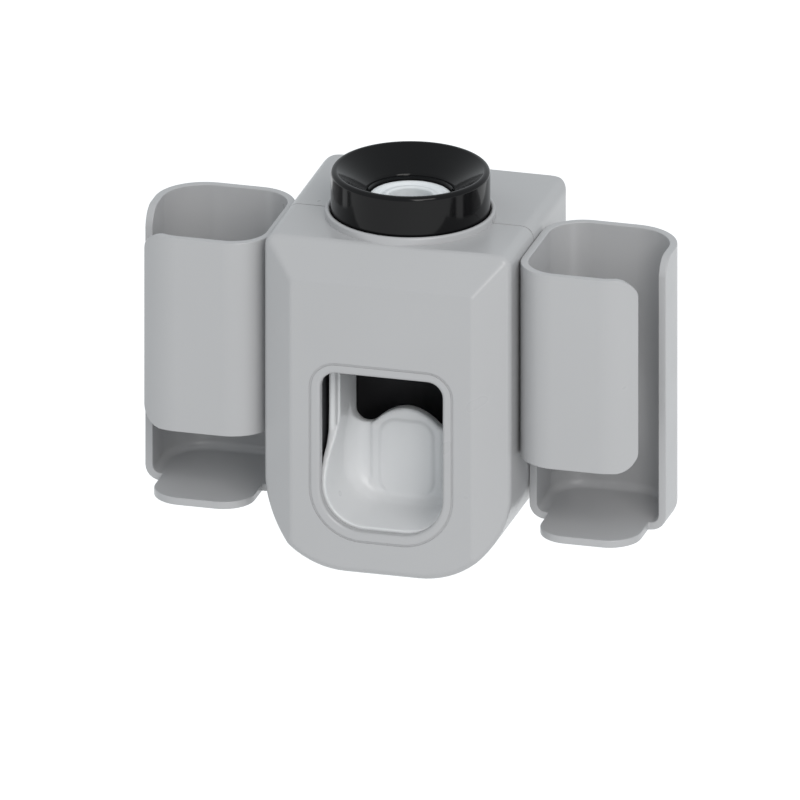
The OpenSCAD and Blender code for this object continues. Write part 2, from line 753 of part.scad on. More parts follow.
module outlet_elbow() {
    color(frame_black) hung() difference() {
        union() {
            translate([0, split_y, elbow_low_z]) cylinder(r = elbow_r, h = elbow_flange_t);
            rod_y(0, duct_z, passage_r + elbow_wall, nozzle_y, split_y);
            translate([0, nozzle_y, nozzle_socket_z])
                cylinder(r = sleeve_r + elbow_wall, h = duct_z + passage_r + elbow_wall - nozzle_socket_z);
        }
        translate([0, split_y, bulb_low_z]) cylinder(r = low_flange_r + 0.15, h = far);
        translate([0, split_y, duct_z]) cylinder(r = passage_r, h = far);
        rod_y(0, duct_z, passage_r, nozzle_y, split_y);
        translate([0, nozzle_y, valve_low_z]) cylinder(r = passage_r, h = duct_z - valve_low_z);
        translate([0, nozzle_y, nozzle_socket_z - 1])
            cylinder(r = sleeve_r + 0.05, h = valve_low_z + valve_flange_t - nozzle_socket_z + 1);
        both_sides() translate([elbow_screw_x, split_y, elbow_low_z - 1])
            cylinder(r = small_screw_r + 0.15, h = far);
    }
}

// Solid of revolution on the nozzle's axis
module turned_nozzle(points) {
    translate([0, nozzle_y, 0]) rotate_extrude() polygon(points);
}

module outlet_valve() {
    top = valve_low_z + valve_flange_t;
    low = nozzle_socket_z - 0.8;
    color(silicone) hung() turned_nozzle([
        [sleeve_r, valve_low_z], [sleeve_r, top], [1.1, top], [0.3, low], [0.8, low], [1.5, valve_low_z]]);
}

module nozzle_tip() {
    flange_low = nozzle_socket_z - nozzle_flange_t;
    color(frame_black) hung() turned_nozzle([
        [nozzle_hole_r, nozzle_tip_z], [nozzle_r - 0.4, nozzle_tip_z], [nozzle_r, nozzle_tip_z + 0.4],
        [nozzle_r, flange_low], [sleeve_r + elbow_wall, flange_low], [sleeve_r + elbow_wall, nozzle_socket_z],
        [sleeve_r, nozzle_socket_z], [sleeve_r, valve_low_z], [2.4, valve_low_z], [2.4, nozzle_socket_z - 1],
        [nozzle_hole_r, nozzle_socket_z - 1.6]]);
}

module pump_screws() {
    color(steel) hung() both_sides() {
        translate([socket_screw_x, split_y, frame_top - 5]) {
            cylinder(r = small_screw_r, h = socket_flange_t + 5 + fuse);
            translate([0, 0, socket_flange_t + 5]) cylinder(r = small_head_r, h = small_head_t);
        }
        translate([elbow_screw_x, split_y, elbow_low_z]) {
            translate([0, 0, -fuse]) cylinder(r = small_screw_r, h = elbow_flange_t + shelf_t - 0.4);
            translate([0, 0, -small_head_t]) cylinder(r = small_head_r, h = small_head_t);
        }
    }
}

module lever_pins() {
    tip_x = arm_in - 1.3;
    color(steel) hung() both_sides() {
        rod_x(hinge_y, hinge_z, pin_r, tip_x, frame_out + fuse);
        rod_x(hinge_y, hinge_z, pin_head_r, frame_out, frame_out + pin_head_t);
    }
}

module pin_clips() {
    x = arm_in - 0.9;
    color(steel) hung() both_sides() difference() {
        rod_x(hinge_y, hinge_z, pin_head_r, x, x + 0.6);
        rod_x(hinge_y, hinge_z, pin_r + 0.02, x - 1, x + 2);
    }
}

// Return spring: one wire wound by a formula, with its axis along Y
spring_sides = 6;
spring_rings = 8;
spring_y0 = scoop_back_y + 0.3 + wire_r;
spring_y1 = frame_back_y - 0.02 - wire_r;
spring_pitch = (spring_y1 - spring_y0) / spring_turns;
ring_count = spring_turns * spring_rings;
echo("least gap of the return spring to itself", spring_pitch - 2 * wire_r);

function spring_ring(i) = let (turn = 360 * i / spring_rings, y = spring_y0 + spring_pitch * i / spring_rings)
    [for (k = [0 : spring_sides - 1]) let (a = 360 * k / spring_sides, r = spring_r + wire_r * cos(a))
        [r * cos(turn), y + wire_r * sin(a), spring_z + r * sin(turn)]];

module return_spring() {
    n = spring_sides;
    points = [for (i = [0 : ring_count]) each spring_ring(i)];
    sides = [for (i = [0 : ring_count - 1], k = [0 : n - 1]) let (a = i * n + k, b = i * n + (k + 1) % n)
        each [[a, b, a + n], [b, b + n, a + n]]];
    caps = [for (k = [1 : n - 2]) each [[0, k + 1, k], [ring_count * n, ring_count * n + k, ring_count * n + k + 1]]];
    color(steel) hung() polyhedron(points, concat(sides, caps));
}

module tube_collar() {
    crest_z_top = body_h + collar_h;
    lip_z = body_h + funnel_lip_h;
    hole_r = seal_r + seal_gap;
    color(frame_black) hung() turned(concat(
        [[collar_r - collar_wall, body_h + 0.02], [collar_r, body_h + 0.02]],
        arc(collar_r - crest_round, crest_z_top - crest_round, crest_round, 0, 120),
        [[funnel_lip_r, lip_z], [hole_r, lip_z - 0.4], [hole_r, body_h - spigot_len]],
        [[spigot_r, body_h - spigot_len], [spigot_r, body_h - spigot_len + 0.8],
         [spigot_r - 1.9 * oring_r, body_h - spigot_len + 0.8],
         [spigot_r - 1.9 * oring_r, body_h - spigot_len + 0.8 + 2 * oring_r],
         [spigot_r, body_h - spigot_len + 0.8 + 2 * oring_r],
         [spigot_r, lip_z - 2], [collar_r - collar_wall, lip_z + 1.5]]));
}

module collar_oring() {
    z = body_h - spigot_len + 0.8 + oring_r;
    color(frame_black) hung() translate([0, split_y, z]) rotate_extrude()
        translate([spigot_r - 0.92 * oring_r, 0]) circle(r = 0.9 * oring_r, $fn = 24);
}

// Share from 0 to 1 that rises smoothly as z goes from high down to low
function eased(z, high, low) = let (t = max(0, min(1, (high - z) / (high - low)))) t * t * (3 - 2 * t);

// Half width at height z that swells smoothly from the arms to the scoop
function swell(z, arm, scoop) = arm + (scoop - arm) * eased(z, scoop_narrow_z, scoop_wide_z);

// Distance of the lever's front edge from the flat front at height z
function rim_y(z) = arm_front_y + (scoop_front_y - arm_front_y) * eased(z, rim_high_z, rim_low_z);

// Front view of the lever up to top: pear-shaped, with round bottom corners
module scoop_outline(arm, scoop, low, r, top) {
    steps = 12;
    side = [for (i = [0 : steps]) let (z = scoop_wide_z + (top - scoop_wide_z) * i / steps) [swell(z, arm, scoop), z]];
    mirrored = [for (i = [0 : steps]) let (p = side[steps - i]) [-p.x, p.y]];
    polygon(concat(arc(scoop - r, low + r, r, 270, 360), side, mirrored, arc(-scoop + r, low + r, r, 180, 270)));
}

module scoop_outside(top) {
    scoop_outline(lever_half, scoop_half, scoop_low_z, scoop_corner_r, top);
}

module scoop_inside(top) {
    scoop_outline(arm_in, scoop_half - scoop_side_t, scoop_low_z + scoop_floor_t, scoop_corner_r - scoop_side_t, top);
}

// Opening over the back wall: its arched lower edge runs out into a round notch beside each arm
module scoop_opening() {
    steps = 8;
    notch_r = arm_in - notch_x;
    right = arc(notch_x, notch_z + notch_r, notch_r, 0, -90);
    left = arc(-notch_x, notch_z + notch_r, notch_r, -90, -180);
    arch = [for (i = [1 : 2 * steps - 1]) let (x = notch_x * (1 - i / steps))
        [x, notch_z + (crest_z - notch_z) * eased(abs(x), notch_x, crest_half)]];
    polygon(concat([[arm_in, scoop_narrow_z + 1]], right, arch, left, [[-arm_in, scoop_narrow_z + 1]]));
}

module lever_arm() {
    bar_side = 3.2;
    along_x(arm_in, lever_half) polygon([
        [arm_front_y, scoop_narrow_z - fuse], [arm_front_y, arm_top_z], [hinge_y - ear_r, hinge_z],
        [hinge_y + 1, hinge_z], [arm_back_y, arm_top_z], [arm_back_y, scoop_narrow_z - fuse]]);
    rod_x(hinge_y, hinge_z, ear_r, arm_in, lever_half);
    along_x(arm_in, lever_half) polygon([
        [hinge_y - 2, hinge_z + bar_side], [bar_y - bar_side * 0.7, bar_z + 1], [bar_y, bar_z - bar_r],
        [hinge_y + 4, hinge_z - 2]]);
    rod_x(hinge_y, hinge_z, pin_head_r + 0.4, lever_half - 1, frame_half - 0.3);
}

module push_lever() {
    face_y = scoop_back_y - scoop_back_t;
    color(lever_white) hung() difference() {
        union() {
            difference() {
                along_y(scoop_front_y, scoop_back_y) scoop_outside(scoop_narrow_z);
                along_y(scoop_front_y - 1, face_y) scoop_inside(scoop_narrow_z + 1);
                along_y(face_y - 1, scoop_back_y + 1) scoop_opening();
                along_x(-far, far) polygon(concat(
                    [for (i = [0 : 12]) let (z = rim_low_z + (rim_high_z - rim_low_z) * i / 12) [rim_y(z), z]],
                    [[arm_front_y, far], [scoop_front_y - 1, far], [scoop_front_y - 1, rim_low_z]]));
            }
            along_y(face_y - tongue_rise, face_y + 1) difference() {
                translate([-tongue_half, scoop_low_z + scoop_floor_t / 2])
                    square([2 * tongue_half, crest_z - scoop_low_z]);
                scoop_opening();
            }
            along_y(face_y - tongue_rise - pad_t, face_y)
                polygon(rounded_box(-pad_w / 2, pad_z, pad_w / 2, pad_z + pad_h,
                    pad_corner_r, pad_corner_r, pad_corner_r, pad_corner_r));
            both_sides() lever_arm();
            rod_x(bar_y, bar_z, bar_r, -lever_half, lever_half);
            rod_y(0, spring_z, spring_boss_r, scoop_back_y - 1, scoop_back_y + 3);
        }
        both_sides() rod_x(hinge_y, hinge_z, pin_r + pin_gap, arm_in - 1, frame_half + 1);
    }
}

// Plan of the right cup, moved inwards by inset
module cup_plan(inset) {
    outer = inner_r(cup_outer_r, inset);
    inner = inner_r(cup_inner_r, inset);
    polygon(rounded_box(cup_x0 + inset * 0.75, cup_front_y + inset, cup_x1 - inset, cup_back_y - inset,
        inner, outer, outer, inner));
}

module cup_band() {
    difference() {
        cup_plan(0);
        cup_plan(cup_wall);
    }
}

// Cup without its hollow or the hollow alone, from height low up, with rounded lower edges
module cup_form(inset, low) {
    r = inner_r(cup_bottom_r, inset);
    top = cup_top_z + inset;
    intersection() {
        translate([0, 0, low]) linear_extrude(top - low) cup_plan(inset);
        along_y(side_wall_y - inset, far) polygon(concat(
            arc(cup_x0 + inset * 0.75 + r, low + r, r, 180, 270), arc(cup_x1 - inset - r, low + r, r, 270, 360),
            [[cup_x1 - inset, top + 1], [cup_x0 + inset * 0.75, top + 1]]));
    }
}

// Plan of the sector that the front panel covers, up to its free edge
module panel_sector() {
    centre = [cup_x1 - cup_outer_r, cup_front_y + cup_outer_r];
    reach = 60;
    polygon([
        centre, centre + reach * [sin(panel_angle), -cos(panel_angle)], [cup_x0 - 1, cup_front_y - reach],
        [cup_x0 - 1, side_wall_y + fuse], [centre.x, side_wall_y + fuse]]);
}

// Prism along Y that squares off a rounded corner at (x, z), pointing right and up or down
module corner_cut_y(x, z, r, up) {
    translate([x, 0, z]) mirror([0, 0, up > 0 ? 0 : 1]) along_y(-far, side_wall_y - 4)
        difference() {
            translate([-r, -r]) square(r + 5);
            translate([-r, -r]) circle(r = r);
        }
}

// Prism along X that squares off a rounded front corner at (y, z)
module corner_cut_x(y, z, r, up) {
    translate([0, y, z]) mirror([0, 0, up > 0 ? 0 : 1]) along_x(cup_x1 - cup_outer_r + 2, far)
        difference() {
            translate([-5, -r]) square(r + 5);
            translate([r, -r]) circle(r = r);
        }
}

module cup_hooks() {
    tongue_x = inner_x - hook_gap;
    for (z = hook_heights) {
        block([tongue_x - hook_t, hook_y - hook_w / 2, z + hook_gap / 3],
              [cup_x0 + cup_wall * 0.75, hook_y + hook_w / 2, z + hook_neck_h]);
        block([tongue_x - hook_t, hook_y - hook_w / 2, z - hook_tongue],
              [tongue_x, hook_y + hook_w / 2, z + hook_neck_h]);
    }
}

module cup() {
    edge_x = cup_x1 - cup_outer_r + cup_outer_r * sin(panel_angle);
    difference() {
        cup_form(0, cup_low_z);
        cup_form(cup_wall, cup_low_z + cup_floor_t);
        corner_cut_x(side_wall_y, cup_top_z, panel_corner_r, 1);
    }
    difference() {
        translate([0, 0, panel_low_z]) linear_extrude(cup_top_z - panel_low_z) intersection() {
            cup_band();
            panel_sector();
        }
        corner_cut_y(edge_x, cup_top_z, panel_corner_r, 1);
        corner_cut_y(edge_x, panel_low_z, panel_corner_r, -1);
    }
    translate([0, 0, cup_low_z]) linear_extrude(cup_floor_t)
        polygon(rounded_box(cup_x0 + tab_inset, tab_y, cup_x1 - tab_inset * 0.9, side_wall_y + 5,
            tab_corner_r, tab_corner_r, 0.5, 0.5));
    cup_hooks();
}

module right_cup() {
    color(shell_grey) hung() cup();
}

module left_cup() {
    color(shell_grey) hung() mirror([1, 0, 0]) cup();
}

module wall_plate() {
    tongue_y = recess_in_y - hook_gap;
    color(shell_grey) hung() difference() {
        union() {
            block([-plate_w / 2, plate_front_y, plate_z - plate_h / 2], [plate_w / 2, plate_back_y, plate_z + plate_h / 2]);
            for (z = wall_hook_zs) {
                block([-wall_hook_w / 2, tongue_y - hook_t, z - wall_neck_h / 2],
                      [wall_hook_w / 2, plate_front_y + 1, z + wall_neck_h / 2 - fuse]);
                block([-wall_hook_w / 2, tongue_y - hook_t, z - wall_neck_h / 2],
                      [wall_hook_w / 2, tongue_y, z + wall_neck_h / 2 + wall_hook_tongue]);
            }
        }
        both_sides() rod_y(wall_screw_dx, plate_z, wall_screw_r, plate_front_y - 1, plate_back_y + 1);
    }
}

module adhesive_pad() {
    edge = 1;
    color("#d8d8d4") hung() difference() {
        block([-plate_w / 2 + edge, plate_back_y, plate_z - plate_h / 2 + edge],
              [plate_w / 2 - edge, wall_y, plate_z + plate_h / 2 - edge]);
        both_sides() rod_y(wall_screw_dx, plate_z, wall_screw_r + 1.8, plate_back_y - 1, wall_y + 1);
    }
}

front_shell();
rear_shell();
case_screws();
pump_frame();
frame_screws();
inlet_socket();
inlet_seal();
inlet_valve();
pump_bulb();
outlet_elbow();
outlet_valve();
nozzle_tip();
pump_screws();
lever_pins();
pin_clips();
return_spring();
tube_collar();
collar_oring();
push_lever();
left_cup();
right_cup();
wall_plate();
adhesive_pad();
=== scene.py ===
"""Wall-hung toothpaste dispenser: light grey housing, black funnel collar, white push lever, two cups."""
import bpy
import bmesh
import math
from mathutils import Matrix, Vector


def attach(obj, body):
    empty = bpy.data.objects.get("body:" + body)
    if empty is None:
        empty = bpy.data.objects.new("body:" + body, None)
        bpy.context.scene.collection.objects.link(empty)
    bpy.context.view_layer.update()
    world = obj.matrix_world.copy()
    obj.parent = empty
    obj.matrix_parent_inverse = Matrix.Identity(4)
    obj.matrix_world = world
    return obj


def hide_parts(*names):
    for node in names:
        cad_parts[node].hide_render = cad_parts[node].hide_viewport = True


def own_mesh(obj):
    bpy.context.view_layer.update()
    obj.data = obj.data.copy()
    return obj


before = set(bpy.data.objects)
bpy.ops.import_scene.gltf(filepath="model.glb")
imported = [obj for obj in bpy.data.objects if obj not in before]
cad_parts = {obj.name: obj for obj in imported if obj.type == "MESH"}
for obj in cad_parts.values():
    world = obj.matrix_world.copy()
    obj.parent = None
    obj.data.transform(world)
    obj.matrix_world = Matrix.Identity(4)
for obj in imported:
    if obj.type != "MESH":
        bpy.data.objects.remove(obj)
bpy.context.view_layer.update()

# Lengths are in mm and are turned into metres where they are handed to Blender
MM = 0.001
# Middle of the wall plate's back face, measured from the housing's lower front edge in mm
ORIGIN = Vector((0, 71.5, 62))


# ---- measuring and choosing ----

def at(x, y, z):
    """Place in metres of a point given in mm from the housing's lower front edge."""
    return (Vector((x, y, z)) - ORIGIN) * MM


def in_mm(place):
    """Point in mm from the housing's lower front edge, of a place in metres."""
    return Vector(place) / MM + ORIGIN


def only(piece):
    """Selects one piece and makes it the active one."""
    bpy.ops.object.select_all(action="DESELECT")
    piece.select_set(True)
    bpy.context.view_layer.objects.active = piece


def ends(edge):
    return [in_mm(corner.co) for corner in edge.verts]


def runs_back(edge):
    """Whether an edge runs along the depth."""
    a, b = ends(edge)
    return abs(a.y - b.y) > 0.5


def turn(edge):
    """Angle in degrees by which the surface turns over an edge."""
    return math.degrees(edge.calc_face_angle(0))


def pick(piece, kind, wanted):
    """Enters edit mode with only those corners, edges or faces selected that are wanted."""
    only(piece)
    bpy.context.tool_settings.mesh_select_mode = (kind == "verts", kind == "edges", kind == "faces")
    bpy.ops.object.mode_set(mode="EDIT")
    bpy.ops.mesh.select_all(action="DESELECT")
    shape = bmesh.from_edit_mesh(piece.data)
    shape.normal_update()
    for item in getattr(shape, kind):
        if wanted(item):
            item.select_set(True)
    bmesh.update_edit_mesh(piece.data)


def pick_all(piece, kind="verts"):
    pick(piece, kind, lambda item: True)


def leave():
    bpy.ops.object.mode_set(mode="OBJECT")


def middle(face):
    return in_mm(face.calc_center_median())


# ---- shaping ----

def arc(centre, radius, start, end, step):
    """Points on a round arc, from one angle in degrees to another."""
    angles = [math.radians(angle) for angle in range(start, end + step, step)]
    return [(centre[0] + radius * math.cos(angle), centre[1] + radius * math.sin(angle)) for angle in angles]


def merge_close(distance=0.001):
    """Merges all corners that lie no further apart than this."""
    bpy.ops.mesh.select_all(action="SELECT")
    bpy.ops.mesh.remove_doubles(threshold=distance * MM)


def face_outwards():
    bpy.ops.mesh.select_all(action="SELECT")
    bpy.ops.mesh.normals_make_consistent(inside=False)


def settle(name):
    """Names the piece that was made last, and makes its size and turn part of its mesh."""
    piece = bpy.context.object
    piece.name = name
    piece.data.name = name
    bpy.ops.object.transform_apply(location=True, rotation=True, scale=True)
    return piece


def new_box(name, low, high):
    low, high = Vector(low), Vector(high)
    bpy.ops.object.select_all(action="DESELECT")
    bpy.ops.mesh.primitive_cube_add(size=1, location=at(*((low + high) / 2)), scale=(high - low) * MM)
    return settle(name)


def new_rod(name, start, end, radius, sides=64):
    start, end = Vector(start), Vector(end)
    bpy.ops.object.select_all(action="DESELECT")
    bpy.ops.mesh.primitive_cylinder_add(
        vertices=sides, radius=radius * MM, depth=(end - start).length * MM,
        location=at(*((start + end) / 2)), rotation=(end - start).to_track_quat("Z", "Y").to_euler())
    return settle(name)


def draw_line(name, points):
    """A line drawn point by point: a small plane is merged to one corner, which is extruded on and on."""
    points = [at(*point) for point in points]
    bpy.ops.object.select_all(action="DESELECT")
    bpy.ops.mesh.primitive_plane_add(size=MM, location=points[0])
    line = settle(name)
    pick_all(line)
    bpy.ops.mesh.merge(type="CENTER")
    for here, there in zip(points, points[1:]):
        bpy.ops.mesh.extrude_vertices_move(TRANSFORM_OT_translate={"value": there - here})
    leave()
    return line


def turn_round(name, axis, profile, steps):
    """A closed profile of (radius, height) points is drawn and spun round an upright axis."""
    x, y = axis
    line = draw_line(name, [(x + radius, y, height) for radius, height in profile + profile[:1]])
    pick_all(line)
    merge_close()
    bpy.ops.mesh.select_all(action="SELECT")
    bpy.ops.mesh.spin(steps=steps, angle=math.tau, center=at(x, y, 0), axis=(0, 0, 1))
    merge_close()
    face_outwards()
    leave()
    return line


def cut_from_sheet(name, outline, thickness):
    """A flat outline is filled and extruded along the vector thickness, in mm."""
    plate = draw_line(name, list(outline) + [outline[0]])
    pick_all(plate)
    merge_close()
    bpy.ops.mesh.select_all(action="SELECT")
    bpy.ops.mesh.edge_face_add()
    bpy.ops.mesh.extrude_region_move(TRANSFORM_OT_translate={"value": Vector(thickness) * MM})
    face_outwards()
    leave()
    return plate


def round_edges(piece, radius, steps, wanted):
    pick(piece, "edges", wanted)
    bpy.ops.mesh.bevel(offset=radius * MM, offset_type="OFFSET", segments=steps, profile=0.5,
                       affect="EDGES", clamp_overlap=False)
    leave()


def slice_faces(piece, point, outward, wanted=lambda face: True, fill=False, clear=True):
    """Cuts the wanted faces along a plane, and takes off what lies beyond it."""
    pick(piece, "faces", wanted)
    bpy.ops.mesh.bisect(plane_co=at(*point), plane_no=Vector(outward).normalized(), use_fill=fill,
                        clear_outer=clear)
    if fill:
        merge_close(0.002)
        face_outwards()
    leave()


def remove_faces(piece, wanted):
    pick(piece, "faces", wanted)
    bpy.ops.mesh.delete(type="FACE")
    leave()


def apply_step(piece, kind, **settings):
    """Adds one modifier and applies it."""
    only(piece)
    step = piece.modifiers.new(kind.lower(), kind)
    for key, value in settings.items():
        setattr(step, key, value)
    bpy.ops.object.modifier_apply(modifier=step.name)


def combine(piece, tool, how):
    """Adds the tool's shape to a piece or cuts it out, and removes the tool."""
    apply_step(piece, "BOOLEAN", operation=how, object=tool, solver="EXACT")
    bpy.data.objects.remove(tool)


def join(piece, others):
    only(piece)
    for other in others:
        other.select_set(True)
    bpy.ops.object.join()


def thicken(piece, wall):
    """Gives an open shell its wall, inwards from its outer face."""
    apply_step(piece, "SOLIDIFY", thickness=wall * MM, offset=-1, use_even_offset=True)


def soften(piece, radius, steps, sharper):
    """Rounds all edges that turn by more than an angle."""
    apply_step(piece, "BEVEL", width=radius * MM, segments=steps, limit_method="ANGLE",
               angle_limit=math.radians(sharper), miter_outer="MITER_ARC")


def even_shading(piece, angle):
    """Smooth shading, apart from edges that turn by more than an angle."""
    only(piece)
    bpy.ops.object.shade_smooth_by_angle(angle=math.radians(angle))
    apply_step(piece, "WEIGHTED_NORMAL", keep_sharp=True)


def finish_piece(piece, material, body, nodes):
    piece.data.materials.clear()
    piece.data.materials.append(material)
    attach(piece, body)
    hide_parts(*nodes)


# ---- materials ----

def colour(code):
    """Linear colour of an sRGB hex value."""
    parts = [int(code[place:place + 2], 16) / 255 for place in (1, 3, 5)]
    return [*(part / 12.92 if part <= 0.04045 else ((part + 0.055) / 1.055) ** 2.4 for part in parts), 1]


def node(tree, kind, inputs=None, **settings):
    """Adds one node with its settings, its values and the sockets that feed it."""
    new = tree.nodes.new("ShaderNode" + kind)
    for key, value in settings.items():
        setattr(new, key, value)
    for key, value in (inputs or {}).items():
        if isinstance(value, bpy.types.NodeSocket):
            tree.links.new(value, new.inputs[key])
        else:
            new.inputs[key].default_value = value
    return new


def size(millimetres):
    """Scale of a noise pattern whose blotches are that large."""
    return 1000 / millimetres


def new_material(name):
    """A material and its node tree, which is still empty."""
    material = bpy.data.materials.new(name)
    material.use_nodes = True
    material.node_tree.nodes.clear()
    return material, material.node_tree


def blend(tree, factor, low, high):
    """A colour between two, by a factor from 0 to 1."""
    mix = node(tree, "Mix", {"Factor": factor, "A": colour(low), "B": colour(high)}, data_type="RGBA")
    return mix.outputs["Result"]


def moulded(name, light, dark, rough, cloud, grain, depth, ior=1.53, **more):
    """Injection-moulded plastic: a faintly cloudy colour, a polish that wanders, a fine tool grain."""
    material, tree = new_material(name)
    place = node(tree, "TexCoord").outputs["Object"]
    clouds = node(tree, "TexNoise", {"Vector": place, "Scale": size(cloud), "Detail": 3, "Roughness": 0.55})
    tint = blend(tree, clouds.outputs["Fac"], dark, light)
    polish = node(tree, "TexNoise", {"Vector": place, "Scale": size(cloud / 3), "Detail": 2})
    gloss = node(tree, "MapRange", {"Value": polish.outputs["Fac"], "To Min": rough * 0.8,
                                    "To Max": rough * 1.2})
    tool_grain = node(tree, "TexNoise", {"Vector": place, "Scale": size(grain), "Detail": 2,
                                         "Roughness": 0.5})
    bump = node(tree, "Bump", {"Height": tool_grain.outputs["Fac"], "Strength": 1, "Distance": depth * MM})
    surface = node(tree, "BsdfPrincipled", {
        "Base Color": tint, "Roughness": gloss.outputs["Result"], "Normal": bump.outputs["Normal"],
        "IOR": ior, **more})
    node(tree, "OutputMaterial", {"Surface": surface.outputs["BSDF"]})
    return material


# Light grey ABS, moulded in a polished tool: smooth, with soft highlights along the bevels
grey_abs = moulded("moulded_abs_light_grey", "#b7b7b8", "#b2b2b3", 0.3, 45, 1.1, 0.0025)
# The same ABS on the wall plate, from a plain tool: a little duller
plate_abs = moulded("moulded_abs_wall_plate", "#b4b6b8", "#aeb0b2", 0.42, 30, 0.9, 0.006)
# White ABS of the lever: bright, with soft highlights in the hollow
white_abs = moulded("moulded_abs_gloss_white", "#ecedee", "#e7e8e9", 0.3, 30, 1.2, 0.002)
# Black gloss ABS of the collar: deep black that mirrors the room
black_abs = moulded("moulded_abs_gloss_black", "#0b0b0c", "#080809", 0.12, 24, 1.4, 0.001,
                    **{"Specular IOR Level": 0.2})
# Glass-filled nylon of the inner frame and the pump's hard pieces: charcoal and matt. Its dark colour is
# partly the frame's own and partly painted shade, which darkens the housing's inside seen through the window.
nylon_black_and_painted_shade = moulded("moulded_nylon_black_and_painted_shade", "#3a3a3d", "#343437", 0.5, 12, 0.6, 0.01)
# Liquid silicone rubber of the seal, bulb and valves: milky white, soft sheen
silicone = moulded("moulded_silicone_milky", "#f1f4f5", "#e9edef", 0.36, 9, 0.8, 0.004, 1.41,
                   **{"Subsurface Weight": 0.35, "Subsurface Radius": (1, 1, 1), "Subsurface Scale": 0.0012})
# Nitrile rubber of the O-ring: dull black
rubber = moulded("moulded_nitrile_rubber_black", "#141415", "#0e0e0f", 0.62, 5, 0.5, 0.006, 1.52)
# Closed-cell foam tape behind the wall plate: pale and open-pored at its cut edge
foam = moulded("foam_tape_white", "#d9d9d5", "#c9c9c4", 0.85, 6, 0.45, 0.06, 1.5)


def metal(name, light, dark, rough, line, length):
    """Drawn or turned steel: fine lines from the tool, in the colour and in the polish."""
    material, tree = new_material(name)
    place = node(tree, "TexCoord").outputs["Object"]
    along = node(tree, "Mapping", {"Vector": place, "Scale": (size(line), size(line), size(length))})
    lines = node(tree, "TexNoise", {"Vector": along.outputs["Vector"], "Scale": 1, "Detail": 3})
    tint = blend(tree, lines.outputs["Fac"], dark, light)
    gloss = node(tree, "MapRange", {"Value": lines.outputs["Fac"], "To Min": rough * 0.7,
                                    "To Max": rough * 1.3})
    bump = node(tree, "Bump", {"Height": lines.outputs["Fac"], "Strength": 1, "Distance": 0.004 * MM})
    surface = node(tree, "BsdfPrincipled", {
        "Base Color": tint, "Metallic": 1, "Roughness": gloss.outputs["Result"],
        "Normal": bump.outputs["Normal"]})
    node(tree, "OutputMaterial", {"Surface": surface.outputs["BSDF"]})
    return material


# Zinc-plated steel of the screws: turned heads, with marks 0.3 mm apart
screw_steel = metal("zinc_plated_steel", "#c3c5c8", "#a3a6aa", 0.32, 0.3, 0.3)
# Ground stainless steel of the pins
pin_steel = metal("ground_stainless_steel", "#c9cacc", "#b2b4b7", 0.2, 0.25, 2)
# Spring wire, drawn and oiled
spring_steel = metal("drawn_spring_steel", "#9b9da0", "#7c7e82", 0.28, 0.2, 1)


# ---- the front half of the housing ----

# The halves meet at the depth SPLIT, and the tube stands over that line
HALF_WIDTH, HEIGHT, SPLIT, WALL = 35.5, 96.5, 31, 2.4
TUBE = (0, SPLIT)
BEVEL_WIDTH, BEVEL_HEIGHT, BEVEL_DEPTH = 9.2, 10.5, 7
EDGE_RADIUS, LOW_CORNER, TOP_CORNER = 2.4, 25, 3.5
# Window: half its width, its lower and upper edges, and the radii of its lower and upper corners
WINDOW_HALF, WINDOW_LOW, WINDOW_HIGH = 17.6, 12.8, 59.3
WINDOW_LOW_CORNER, WINDOW_TOP_CORNER = 12, 4.5
# Groove that draws the window's edging: how far outside the window, how wide and how deep
EDGING, GROOVE_WIDTH, GROOVE_DEPTH = 2.5, 0.7, 0.35
# Hole for the collar's spigot, and the crest of the lip round the collar
COLLAR_HOLE = 16.25
LIP_MIDDLE, LIP_HALF, LIP_CREST, LIP_FOOT = 23.1, 0.65, 98.05, 95.6


def housing_block(name, front, back, inset=0):
    """The housing's outline between two depths, or its hollow with the wall taken off all round."""
    half = new_box(name, (-HALF_WIDTH + inset, front, inset), (HALF_WIDTH - inset, back, HEIGHT - inset))
    round_edges(half, LOW_CORNER - inset, 18, lambda edge: runs_back(edge) and ends(edge)[0].z < 3)
    round_edges(half, max(TOP_CORNER - inset, 1), 5,
                lambda edge: runs_back(edge) and ends(edge)[0].z > HEIGHT - 3)
    return half


def bevel_front(half, inset=0):
    """Bevels on the left, right and top of the front."""
    side_len, top_len = math.hypot(BEVEL_WIDTH, BEVEL_DEPTH), math.hypot(BEVEL_HEIGHT, BEVEL_DEPTH)
    side_y = BEVEL_DEPTH + inset * (side_len - BEVEL_DEPTH) / BEVEL_WIDTH
    top_y = BEVEL_DEPTH + inset * (top_len - BEVEL_DEPTH) / BEVEL_HEIGHT
    for side in (-1, 1):
        slice_faces(half, (side * (HALF_WIDTH - inset), side_y, 0), (side * BEVEL_DEPTH, -BEVEL_WIDTH, 0),
                    fill=True)
    slice_faces(half, (0, top_y, HEIGHT - inset), (0, -BEVEL_HEIGHT, BEVEL_DEPTH), fill=True)


